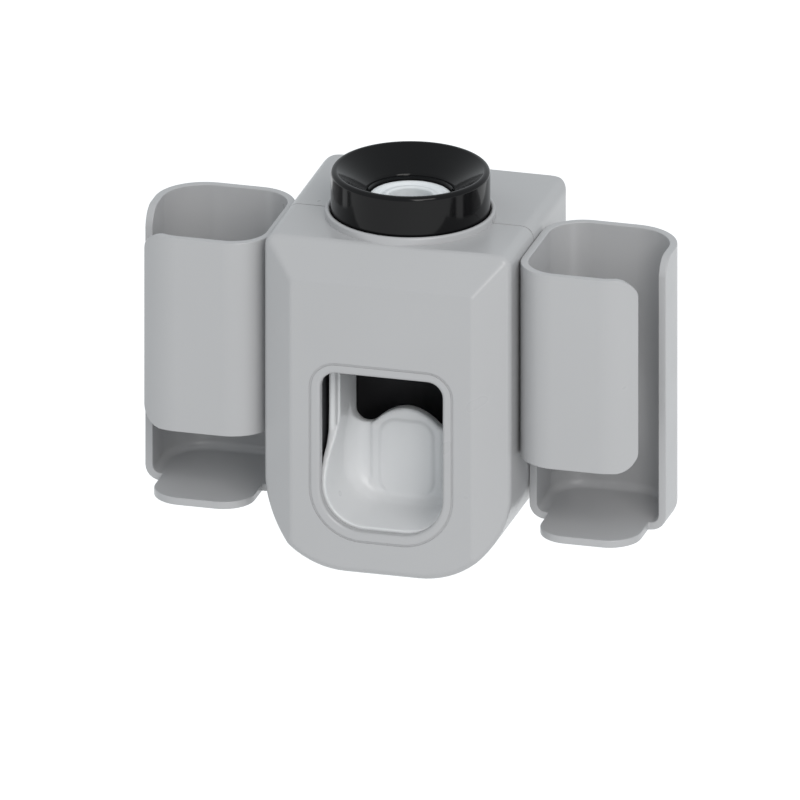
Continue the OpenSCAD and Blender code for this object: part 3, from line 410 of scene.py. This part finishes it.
def round_all_over(piece, radius):
    """A ball is set on each corner and a skin drawn round them all, so every edge comes out round."""
    places = [corner.co.copy() for corner in piece.data.vertices]
    bpy.ops.object.select_all(action="DESELECT")
    bpy.ops.mesh.primitive_uv_sphere_add(segments=24, ring_count=12, radius=radius * MM)
    ball = bpy.context.object
    balls = []
    for place in places:
        only(ball)
        bpy.ops.object.duplicate(linked=True)
        bpy.ops.transform.translate(value=place)
        balls.append(bpy.context.object)
    bpy.data.objects.remove(ball)
    only(piece)
    bpy.ops.object.select_all(action="DESELECT")
    for other in balls:
        other.select_set(True)
    bpy.context.view_layer.objects.active = balls[0]
    bpy.ops.object.make_single_user(object=True, obdata=True)
    bpy.ops.object.transform_apply(location=True, rotation=True, scale=True)
    join(piece, balls)
    pick_all(piece)
    bpy.ops.mesh.delete(type="EDGE_FACE")
    merge_close(0.03)
    bpy.ops.mesh.select_all(action="SELECT")
    bpy.ops.mesh.convex_hull()
    face_outwards()
    leave()


def round_cornered_block(name, low, high, low_radius, high_radius):
    """Block along the depth whose lower and upper corners are round."""
    block = new_box(name, low, high)
    centre = (low[2] + high[2]) / 2
    round_edges(block, low_radius, 12, lambda edge: runs_back(edge) and ends(edge)[0].z < centre)
    round_edges(block, high_radius, 8, lambda edge: runs_back(edge) and ends(edge)[0].z > centre)
    return block


def window_block(name, front, back, wider=0):
    """Block with the window's outline, made wider all round."""
    low = (-WINDOW_HALF - wider, front, WINDOW_LOW - wider)
    high = (WINDOW_HALF + wider, back, WINDOW_HIGH + wider)
    return round_cornered_block(name, low, high, WINDOW_LOW_CORNER + wider, WINDOW_TOP_CORNER + wider)


def window_plug():
    """The window's opening, which flares forwards in a round curve and so rounds the window's lip."""
    lip, steps = 0.9, 5
    half_height, centre = (WINDOW_HIGH - WINDOW_LOW) / 2, (WINDOW_HIGH + WINDOW_LOW) / 2
    plug = window_block("window", lip, 6)
    pick(plug, "faces", lambda face: face.normal.y < -0.9)
    grown, front = 0, lip
    for step in range(1, steps + 1):
        angle = math.radians(90 * step / steps)
        wider, nearer = lip * (1 - math.cos(angle)), lip * (1 - math.sin(angle))
        bpy.ops.mesh.extrude_region_move(TRANSFORM_OT_translate={"value": (0, (nearer - front) * MM, 0)})
        across = (WINDOW_HALF + wider) / (WINDOW_HALF + grown)
        upwards = (half_height + wider) / (half_height + grown)
        bpy.ops.transform.resize(value=(across, 1, upwards), center_override=at(0, 0, centre))
        grown, front = wider, nearer
    bpy.ops.mesh.extrude_region_move(TRANSFORM_OT_translate={"value": (0, -MM, 0)})
    leave()
    return plug


def seat_lip():
    """Raised lip round the collar, with a round crest."""
    crest = arc((LIP_MIDDLE, LIP_CREST), LIP_HALF, 0, 180, 20)
    outer, inner = (LIP_MIDDLE + LIP_HALF, LIP_FOOT), (LIP_MIDDLE - LIP_HALF, LIP_FOOT)
    return turn_round("front_seat", TUBE, [outer] + crest + [inner], 96)


def cut_parting_line(half):
    """A fine step round the outer edge where the halves meet, which draws the parting line."""
    band = housing_block("band", SPLIT - 0.4, SPLIT + 1, -1)
    combine(band, housing_block("band_core", SPLIT - 2, SPLIT + 3, 0.5), "DIFFERENCE")
    combine(half, band, "DIFFERENCE")


def front_housing():
    """Front shell: bevelled and rounded, hollow, with the window, its edging and the collar's seat."""
    half = housing_block("housing_front", EDGE_RADIUS, SPLIT + 5, EDGE_RADIUS)
    bevel_front(half, EDGE_RADIUS)
    round_all_over(half, EDGE_RADIUS)
    slice_faces(half, (0, SPLIT, 0), (0, 1, 0), fill=True)
    hollow = housing_block("front_hollow", WALL, SPLIT + 4, WALL)
    bevel_front(hollow, WALL)
    combine(half, hollow, "DIFFERENCE")
    combine(half, new_rod("collar_hole", (*TUBE, 90), (*TUBE, 100), COLLAR_HOLE), "DIFFERENCE")
    lip = seat_lip()
    slice_faces(lip, (0, SPLIT, 0), (0, 1, 0), fill=True)
    combine(half, lip, "UNION")
    groove = window_block("edging", -1, GROOVE_DEPTH, EDGING + GROOVE_WIDTH)
    combine(groove, window_block("within", -2, 2, EDGING), "DIFFERENCE")
    combine(half, groove, "DIFFERENCE")
    combine(half, window_plug(), "DIFFERENCE")
    cut_parting_line(half)
    return half


shell = front_housing()
even_shading(shell, 34)
finish_piece(shell, grey_abs, "housing", ["front_shell"])


# ---- collar and seal ----
# Their profiles are (distance from the tube's axis, height)

def funnel_collar():
    """Black ring with a round crest, a straight funnel down to the seal, and a groove for the O-ring."""
    crest = arc((21, 108.9), 1.2, 0, 120, 10)
    funnel = [(18.4, 108.5), (16.4, 107.1), (14.4, 105.6), (13, 104.6), (12.6, 104.3), (12.3, 104.1),
              (12, 103.7), (11.9, 103.2)]
    inside = [(11.9, 93.5), (12.1, 93.3), (15.7, 93.3), (16, 93.6), (16, 94.1), (14.7, 94.1), (14.7, 95.5),
              (16, 95.5), (16, 102.4), (20, 105.9), (20, 96.7), (20.15, 96.52), (21.95, 96.52), (22.2, 96.8)]
    return turn_round("funnel_collar", TUBE, crest + funnel + inside, 128)


collar = funnel_collar()
even_shading(collar, 40)
finish_piece(collar, black_abs, "collar", ["tube_collar"])


def nozzle_seal():
    """Silicone ring that the tube's nozzle is pushed into, with a ring groove in its top."""
    bead = arc((6.8, 101.7), 0.6, 180, 90, -15)
    groove = [(7.5, 102.3), (7.8, 102.15), (8.1, 101.6), (8.5, 101.45), (9.3, 101.45), (9.7, 101.6),
              (10, 102.15), (10.3, 102.3)]
    edge = arc((11, 101.7), 0.6, 90, 0, -15)
    under = [(11.6, 95.5), (11.4, 95.3), (10.3, 95.3), (10.1, 95.5), (10.1, 100.3), (7.4, 100.3), (7.4, 96.5),
             (7.2, 96.3), (6.4, 96.3), (6.2, 96.5)]
    return turn_round("nozzle_seal", TUBE, bead + groove + edge + under, 96)


seal = nozzle_seal()
even_shading(seal, 45)
finish_piece(seal, silicone, "housing", ["inlet_seal"])


# ---- the push lever ----

# Half widths of the arms and of the scoop, outside and inside
ARM_OUT, ARM_IN, SCOOP_OUT, SCOOP_IN = 18.5, 15.2, 19, 17.3
# Depths of the scoop's rim, of the arms' front edges, and of the scoop's wall at the back
SCOOP_FRONT, ARM_FRONT, WALL_INSIDE, WALL_OUTSIDE = 4.6, 12.3, 28, 30.5
# Heights between which the scoop narrows to the arms, and between which its rim draws back
WIDE_LOW, WIDE_HIGH, RIM_LOW, RIM_HIGH = 28, 44, 24, 38
# Depth and height of the hinge, and radius of the holes for its pins
HINGE, PIN_HOLE = (22, 60.2), 1.56


def eased(part):
    """Share from 0 to 1 that starts and ends gently."""
    part = max(0, min(1, part))
    return part * part * (3 - 2 * part)


def pear(name, arm, scoop, low, high, front, back, corner):
    """Block whose front view swells from the arms to the scoop, with round lower corners."""
    block = new_box(name, (-scoop, front, low), (scoop, back, high))
    round_edges(block, corner, 14, lambda edge: runs_back(edge) and ends(edge)[0].z < low + 1)
    for height in range(WIDE_LOW, WIDE_HIGH + 2, 2):
        slice_faces(block, (0, 0, height), (0, 0, 1), clear=False)
    for point in block.data.vertices:
        share = eased((WIDE_HIGH - in_mm(point.co).z) / (WIDE_HIGH - WIDE_LOW))
        point.co.x *= (arm + (scoop - arm) * share) / scoop
    return block


def arch(half, low, crest):
    """Round arch from (half, low) over its crest and back down."""
    steps = 24
    across = [half * (1 - 2 * i / steps) for i in range(steps + 1)]
    return [(x, low + (crest - low) * (1 - (x / half) ** 2)) for x in across]


def push_lever():
    """Scoop with a raised pad on two arms, and the bar above them that presses the bulb."""
    lever = pear("scoop_lever", ARM_OUT, SCOOP_OUT, 10.9, 57, SCOOP_FRONT, WALL_OUTSIDE, 13)
    hollow = pear("hollow", ARM_IN, SCOOP_IN, 12.7, 70, -2, WALL_INSIDE, 11.3)
    round_edges(hollow, 5.5, 8,
                lambda edge: turn(edge) > 45 and min(e.y for e in ends(edge)) > WALL_INSIDE - 0.1)
    combine(lever, hollow, "DIFFERENCE")
    # The front edge draws back from the scoop's rim to the arms
    rim = []
    for height in range(RIM_LOW, RIM_HIGH + 1):
        share = eased((height - RIM_LOW) / (RIM_HIGH - RIM_LOW))
        rim.append((SCOOP_FRONT + (ARM_FRONT - SCOOP_FRONT) * share, height))
    rim = rim + [(ARM_FRONT, 80), (2, 80), (2, RIM_LOW)]
    combine(lever, cut_from_sheet("before_arms", [(-30, y, z) for y, z in rim], (60, 0, 0)), "DIFFERENCE")
    # Opening over the arched back wall, with a round notch on either side
    notch = [(11.6 + 3.65 * math.cos(math.radians(angle)), 38.2 + 3.6 * math.sin(math.radians(angle)))
             for angle in range(0, -131, -10)]
    crest = arch(9.05, 35.65, 40.1)
    top = [(15.25, 90)] + notch + crest + [(-x, z) for x, z in reversed(notch)] + [(-15.25, 90)]
    combine(lever, cut_from_sheet("over_arch", [(x, 10, z) for x, z in top], (0, 40, 0)), "DIFFERENCE")
    # Raised tongue and the pad on it, where the brush head rests
    tongue = [(10.2, 13), (10.2, 34.85), (9.6, 35.15)] + crest + [(-9.6, 35.15), (-10.2, 34.85), (-10.2, 13)]
    solids = [cut_from_sheet("tongue", [(x, 27, z) for x, z in tongue], (0, 2, 0))]
    solids.append(round_cornered_block("pad", (-7.5, 26.4, 14.4), (7.5, 28.5, 36.4), 4.5, 4.5))
    # Upper ends of the arms, with the links that reach back from them to the bar
    arm = [(ARM_FRONT, 56), (ARM_FRONT, 57), (16.6, 61), (22, 63), (26, 60), (30.2, 57), (30.2, 56)]
    link = [(20, 64), (40.8, 79), (42.8, 74.7), (26, 58.4), (22, 58)]
    for side in (-1, 1):
        inner, outer = side * ARM_IN, side * ARM_OUT
        solids.append(cut_from_sheet("arm", [(inner, y, z) for y, z in arm], (outer - inner, 0, 0)))
        solids.append(cut_from_sheet("link", [(inner, y, z) for y, z in link], (outer - inner, 0, 0)))
        solids.append(new_rod("ear", (inner, *HINGE), (outer, *HINGE), 5, 48))
        solids.append(new_rod("boss", (side * 17.5, *HINGE), (side * 19.3, *HINGE), 3.2, 40))
    solids.append(new_rod("presser_bar", (-ARM_OUT, 42.8, 77.2), (ARM_OUT, 42.8, 77.2), 2.5, 40))
    solids.append(new_rod("spring_boss", (0, 29.5, 27), (0, 33.5, 27), 2.6, 40))
    # Shallow channel down the front edge of each arm
    for side in (-1, 1):
        left, right = sorted((side * 16.1, side * 17.5))
        combine(lever, new_box("channel", (left, 10, 37.5), (right, 13, 56.5)), "DIFFERENCE")
    join(lever, solids)
    # The solids melt into one skin, whose edges and inner corners come out round
    apply_step(lever, "REMESH", mode="VOXEL", voxel_size=0.45 * MM, use_smooth_shade=True)
    apply_step(lever, "SMOOTH", factor=0.5, iterations=7)
    # Holes in the ears, which turn on the pins
    for side in (-1, 1):
        hole = new_rod("pin_hole", (side * 14, *HINGE), (side * 21, *HINGE), PIN_HOLE, 48)
        combine(lever, hole, "DIFFERENCE")
    only(lever)
    bpy.ops.object.shade_smooth_by_angle(angle=math.radians(60))
    return lever


finish_piece(push_lever(), white_abs, "lever", ["push_lever"])


# ---- the cups ----

# Right cup: its front panel reaches down to PANEL_LOW, and its outer wall ends in front at WALL_FRONT
CUP_LOW, CUP_HIGH, WALL_FRONT, PANEL_LOW = 11.7, 92.5, 25.7, 34.8
CUP_IN, CUP_OUT, CUP_FRONT, CUP_BACK = 35.65, 75, 6, 50.5
CUP_WALL, OUTER_ROUND, INNER_ROUND, FLOOR_ROUND, EDGE_ROUND = 2.2, 14.5, 12, 4.5, 6
# Centre of the outer front corner's rounding, and how far round it the panel's free edge lies
CORNER = Vector((CUP_OUT - OUTER_ROUND, CUP_FRONT + OUTER_ROUND))
FREE_EDGE = math.radians(48)
# Tab of the floor: its sides, its front edge and the radius of its corners
TAB_SIDES, TAB_FRONT, TAB_ROUND = (41.25, 70), 9, 9
# Hooks: from the tongue's outer face to the cup, from front to back, the tongue's thickness, the heights
HOOK_TIP, HOOK_ROOT, HOOK_FRONT, HOOK_BACK, TONGUE, HOOK_HEIGHTS = 30.8, 36.6, 36, 44, 2, (27.7, 69.7)


def right_cup(name):
    """A cup whose wall runs from its outer side round the back to a front panel with a free edge."""
    cup = new_box(name, (CUP_IN, CUP_FRONT, CUP_LOW), (CUP_OUT, CUP_BACK, CUP_HIGH))

    def upright(edge):
        a, b = ends(edge)
        return abs(a.z - b.z) > 1

    round_edges(cup, OUTER_ROUND, 16, lambda edge: upright(edge) and ends(edge)[0].x > CUP_OUT - 1)
    round_edges(cup, INNER_ROUND, 14, lambda edge: upright(edge) and ends(edge)[0].x < CUP_IN + 0.35)
    round_edges(cup, FLOOR_ROUND, 6, lambda edge: all(e.z < CUP_LOW + 0.01 for e in ends(edge)))
    remove_faces(cup, lambda face: middle(face).z > CUP_HIGH - 0.01)
    slice_faces(cup, (0, 0, PANEL_LOW), (0, 0, 1), clear=False)
    slice_faces(cup, (0, WALL_FRONT, 0), (0, 1, 0), clear=False)
    edge_way = (math.cos(FREE_EDGE), math.sin(FREE_EDGE), 0)
    slice_faces(cup, (*CORNER, 0), edge_way, clear=False,
                wanted=lambda face: middle(face).x > CORNER.x and middle(face).y < WALL_FRONT)

    def in_front(face):
        place = middle(face)
        beyond = place.x > CORNER.x and math.atan2(place.x - CORNER.x, CORNER.y - place.y) > FREE_EDGE
        return place.y < WALL_FRONT - 0.01 and (place.z < PANEL_LOW or beyond)

    remove_faces(cup, in_front)
    # Round corners of the panel's free edge and of the outer wall's front edge
    edge_x = CORNER.x + OUTER_ROUND * math.sin(FREE_EDGE)
    for angle in range(8, 90, 12):
        along, up = math.cos(math.radians(angle)), math.sin(math.radians(angle))
        in_by, up_by = EDGE_ROUND * along, EDGE_ROUND * up
        for centre_z, way in ((CUP_HIGH - EDGE_ROUND, 1), (PANEL_LOW + EDGE_ROUND, -1)):
            slice_faces(cup, (edge_x - EDGE_ROUND + in_by, 0, centre_z + way * up_by), (along, 0, way * up),
                        wanted=lambda face: middle(face).x > 60 and middle(face).y < 21)
        slice_faces(cup, (0, WALL_FRONT + EDGE_ROUND - in_by, CUP_HIGH - EDGE_ROUND + up_by), (0, -along, up),
                    wanted=lambda face: middle(face).x > CUP_OUT - 0.1)

    # Tab that the floor reaches forward with
    def on_floor(face):
        return middle(face).z < CUP_LOW + 0.01

    def at_tab(place):
        between = TAB_SIDES[0] - 0.05 < place.x < TAB_SIDES[1] + 0.05
        return between and abs(place.y - WALL_FRONT) < 0.01 and place.z < CUP_LOW + 0.01

    for x in TAB_SIDES:
        slice_faces(cup, (x, 0, 0), (1, 0, 0), clear=False, wanted=on_floor)
    pick(cup, "edges", lambda edge: all(at_tab(end) for end in ends(edge)))
    forwards = Vector((0, TAB_FRONT - WALL_FRONT, 0)) * MM
    bpy.ops.mesh.extrude_region_move(TRANSFORM_OT_translate={"value": forwards})
    leave()
    pick(cup, "verts",
         lambda corner: in_mm(corner.co).y < TAB_FRONT + 0.01 and in_mm(corner.co).z < CUP_LOW + 1)
    bpy.ops.mesh.bevel(offset=TAB_ROUND * MM, segments=10, profile=0.5, affect="VERTICES",
                       clamp_overlap=False)
    leave()
    thicken(cup, CUP_WALL)
    soften(cup, 0.75, 3, 55)
    hooks = []
    for low in HOOK_HEIGHTS:
        hook = new_box("hook", (HOOK_TIP, HOOK_FRONT, low + 0.1), (HOOK_ROOT, HOOK_BACK, low + 4))
        tongue = new_box("tongue", (HOOK_TIP, HOOK_FRONT, low - 6), (HOOK_TIP + TONGUE, HOOK_BACK, low + 3))
        combine(hook, tongue, "UNION")
        soften(hook, 0.35, 2, 50)
        hooks.append(hook)
    join(cup, hooks)
    return cup


def mirrored(piece, name):
    """Copy of a piece on the other side of the dispenser."""
    only(piece)
    bpy.ops.object.duplicate()
    bpy.ops.transform.resize(value=(-1, 1, 1), center_override=(0, 0, 0))
    other = settle(name)
    pick_all(other, "faces")
    face_outwards()
    leave()
    return other


cup_on_right = right_cup("right_cup_moulding")
cup_on_left = mirrored(cup_on_right, "left_cup_moulding")
for cup, body, cad_node in ((cup_on_right, "cup_right", "right_cup"), (cup_on_left, "cup_left", "left_cup")):
    even_shading(cup, 30)
    finish_piece(cup, grey_abs, body, [cad_node])


# ---- squeeze bulb and return spring, which give when the lever is pushed ----

def squeeze_bulb():
    """Hollow bulb with a neck and a flange at either end."""
    outside = [(7.5, 64), (7.5, 65.5), (5.5, 65.5), (5.5, 68.9), (6.6, 70.2), (8, 71.6), (8.8, 73), (9, 74.4),
               (9, 82.4), (8.8, 83.6), (8.2, 84.6), (8, 85), (8, 87.5), (11, 87.5), (11, 89)]
    inside = [(6.7, 89), (6.7, 84.8), (7.5, 83.4), (7.7, 82.2), (7.7, 74.6), (7.5, 73.4), (6.8, 72.2),
              (5.2, 70.6), (4.2, 69.4), (4.2, 64)]
    return turn_round("squeeze_bulb", TUBE, outside + inside, 48)


bulb = squeeze_bulb()
even_shading(bulb, 50)
finish_piece(bulb, silicone, "housing", ["pump_bulb"])
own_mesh(bulb)


def return_spring():
    """Round wire, wound about an axis along the depth."""
    wire_radius, coil_radius, pitch, turns = 0.4, 3.6, 3.04, 5
    bpy.ops.object.select_all(action="DESELECT")
    bpy.ops.mesh.primitive_circle_add(vertices=12, radius=wire_radius * MM, location=at(0, 31.25, 27),
                                      fill_type="NGON")
    spring = bpy.context.object
    spring.name = spring.data.name = "return_spring_wire"
    pick_all(spring)
    bpy.ops.transform.translate(value=(coil_radius * MM, 0, 0))
    leave()
    apply_step(spring, "SCREW", axis="Y", screw_offset=pitch * MM, iterations=turns, steps=32,
               render_steps=32)
    only(spring)
    bpy.ops.object.transform_apply(location=True, rotation=True, scale=True)
    return spring


spring = return_spring()
even_shading(spring, 60)
finish_piece(spring, spring_steel, "housing", ["return_spring"])
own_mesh(spring)


# ---- valves and O-ring ----

# Upright axis of the nozzle, in front of the tube's
NOZZLE = (0, 18)


def duckbill(name, axis, profile):
    """Silicone valve: a flange, and lips that narrow to the hole they close."""
    valve = turn_round(name, axis, profile, 48)
    even_shading(valve, 40)
    return valve


inlet_valve = duckbill("inlet_duckbill", TUBE, [
    (9, 89.2), (9, 89.8), (8.8, 90), (4.4, 90), (4.1, 89.8), (0.5, 81.8), (0.5, 81.5), (1.4, 81.5),
    (1.7, 81.7), (5.2, 88.7), (5.5, 89), (8.8, 89)])
finish_piece(inlet_valve, silicone, "housing", ["inlet_valve"])
outlet_valve = duckbill("outlet_duckbill", NOZZLE, [
    (3.6, 58.35), (3.6, 59.05), (3.45, 59.2), (1.2, 59.2), (1.05, 59.05), (0.3, 56.4), (0.3, 56.16),
    (0.7, 56.16), (0.85, 56.3), (1.5, 58.2), (3.45, 58.2)])
finish_piece(outlet_valve, silicone, "housing", ["outlet_valve"])

collar_seal = turn_round("collar_seal_ring", TUBE, arc((15.35, 94.8), 0.63, 0, 336, 24), 96)
even_shading(collar_seal, 60)
finish_piece(collar_seal, rubber, "collar", ["collar_oring"])


# ---- pieces that keep their CAD shape ----

FINISHES = {
    "rear_shell": grey_abs, "wall_plate": plate_abs, "adhesive_pad": foam,
    "case_screws": screw_steel, "frame_screws": screw_steel, "pump_screws": screw_steel,
    # The inner frame's charcoal is partly painted shade inside the housing, seen through the window
    "pump_frame": nylon_black_and_painted_shade, "inlet_socket": nylon_black_and_painted_shade, "outlet_elbow": nylon_black_and_painted_shade,
    "nozzle_tip": nylon_black_and_painted_shade, "lever_pins": pin_steel, "pin_clips": pin_steel,
}
for cad_node, material in FINISHES.items():
    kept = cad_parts[cad_node]
    kept.data.materials.clear()
    kept.data.materials.append(material)


# ---- floor, light and camera ----

def pale_floor():
    """Plain floor well below the dispenser. It glows a little to the camera and in reflections."""
    bpy.ops.object.select_all(action="DESELECT")
    bpy.ops.mesh.primitive_plane_add(size=12, location=(0, 0, -0.4))
    floor = settle("floor")
    material, tree = new_material("floor_pale")
    path = node(tree, "LightPath")
    seen = node(tree, "Math", {0: path.outputs["Is Camera Ray"], 1: path.outputs["Is Glossy Ray"]},
                operation="MAXIMUM")
    seen = node(tree, "Math", {0: seen.outputs[0], 1: path.outputs["Is Transmission Ray"]},
                operation="MAXIMUM")
    lift = node(tree, "Math", {0: seen.outputs[0], 1: 0.5}, operation="MULTIPLY")
    surface = node(tree, "BsdfPrincipled", {
        "Base Color": colour("#e7e7e7"), "Roughness": 0.9, "Emission Color": colour("#ffffff"),
        "Emission Strength": lift.outputs[0]})
    node(tree, "OutputMaterial", {"Surface": surface.outputs["BSDF"]})
    floor.data.materials.append(material)


def soft_room():
    """Even light from all round, a little cool. The camera sees plain white instead."""
    world = bpy.data.worlds.new("soft_room")
    bpy.context.scene.world = world
    world.use_nodes = True
    room = world.node_tree
    room.nodes.clear()
    path = node(room, "LightPath")
    seen = node(room, "Math", {0: path.outputs["Is Camera Ray"], 1: path.outputs["Is Transmission Ray"]},
                operation="MAXIMUM")
    level = node(room, "MapRange", {"Value": seen.outputs[0], "To Min": 0.74, "To Max": 1})
    tint = blend(room, seen.outputs[0], "#f4f9fc", "#ffffff")
    sky = node(room, "Background", {"Color": tint, "Strength": level.outputs["Result"]})
    node(room, "OutputWorld", {"Surface": sky.outputs["Background"]})


def soft_lamp(name, way, distance, width, power):
    """Square lamp, a little warm, that shines on the dispenser. Distance and width are in metres."""
    lamp = bpy.data.lights.new(name, "AREA")
    lamp.shape = "SQUARE"
    lamp.size = width
    lamp.energy = power
    lamp.color = (1, 0.975, 0.955)
    holder = bpy.data.objects.new(name, lamp)
    bpy.context.scene.collection.objects.link(holder)
    way = Vector(way).normalized()
    holder.location = way * distance
    holder.rotation_euler = way.to_track_quat("Z", "Y").to_euler()


def parallel_camera():
    """Camera with the photograph's parallel view, from the right and a little from above."""
    lens = bpy.data.cameras.new("camera")
    lens.type = "ORTHO"
    lens.ortho_scale = 0.2222
    camera = bpy.data.objects.new("camera", lens)
    bpy.context.scene.collection.objects.link(camera)
    # The picture's own directions. The camera stands 1 m back from the point in the middle of its picture
    right, up = Vector((0.9644, 0.2645, 0)), Vector((-0.0967, 0.3527, 0.9307))
    back = Vector((0.2462, -0.8976, 0.3657))
    camera.location = right * -0.0136 + up * -0.0337 + back
    camera.rotation_euler = (math.radians(68.55), 0, math.radians(15.34))
    bpy.context.scene.camera = camera


pale_floor()
soft_room()
soft_lamp("right_front", (0.5, -0.72, 0.62), 1.6, 0.8, 8)
soft_lamp("edge_light", (0.42, -0.87, 0.25), 1.3, 0.25, 1.2)
parallel_camera()

bpy.context.scene.view_settings.view_transform = "Standard"
